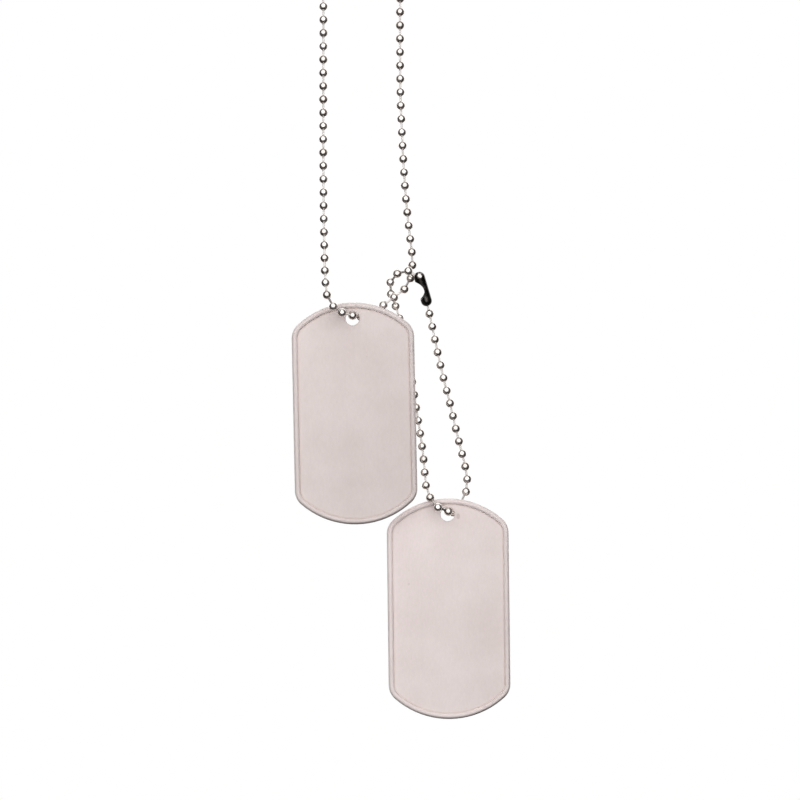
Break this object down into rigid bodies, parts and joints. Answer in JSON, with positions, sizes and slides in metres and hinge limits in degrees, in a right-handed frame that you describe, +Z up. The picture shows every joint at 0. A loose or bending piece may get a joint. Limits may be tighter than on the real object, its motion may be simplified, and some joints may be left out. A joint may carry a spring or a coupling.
{
  "type": "pair of identification dog tags on linked bead chains",
  "caption": "Blank steel identification tags with rolled rims and a punched hole, hanging on a long bead neck chain and a short bead chain looped round it.",
  "frame": {"origin": "where the neck chain hangs, on its centre line at the top of its loop", "axes": "+Z up, +X to the right seen from the front, +Y away from the viewer, through the tags' thickness"},
  "size_m": [0.118, 0.0141, 0.3486],
  "materials": {
    "tag_steel": "satin",
    "chain_steel": "bright, slightly tarnished",
    "connector_steel": "dull"
  },
  "bodies": {
    "chains": {"neck_chain_left": "chain_steel", "neck_chain_right": "chain_steel", "neck_connector": "connector_steel", "short_chain": "chain_steel", "short_connector": "connector_steel"},
    "front_tag": {"front_tag": "tag_steel"},
    "lower_tag": {"lower_tag": "tag_steel"}
  },
  "joints": [
    {"name": "front_tag_swing", "type": "hinge", "parent": "chains", "child": "front_tag", "pos_m": [-0.00215, 0, -0.25378], "axis": [0, 1, 0], "range_deg": [-30, 30]},
    {"name": "lower_tag_swing", "type": "hinge", "parent": "chains", "child": "lower_tag", "pos_m": [0.02, 0.0042, -0.29948], "axis": [0, 1, 0], "range_deg": [-30, 30]}
  ]
}
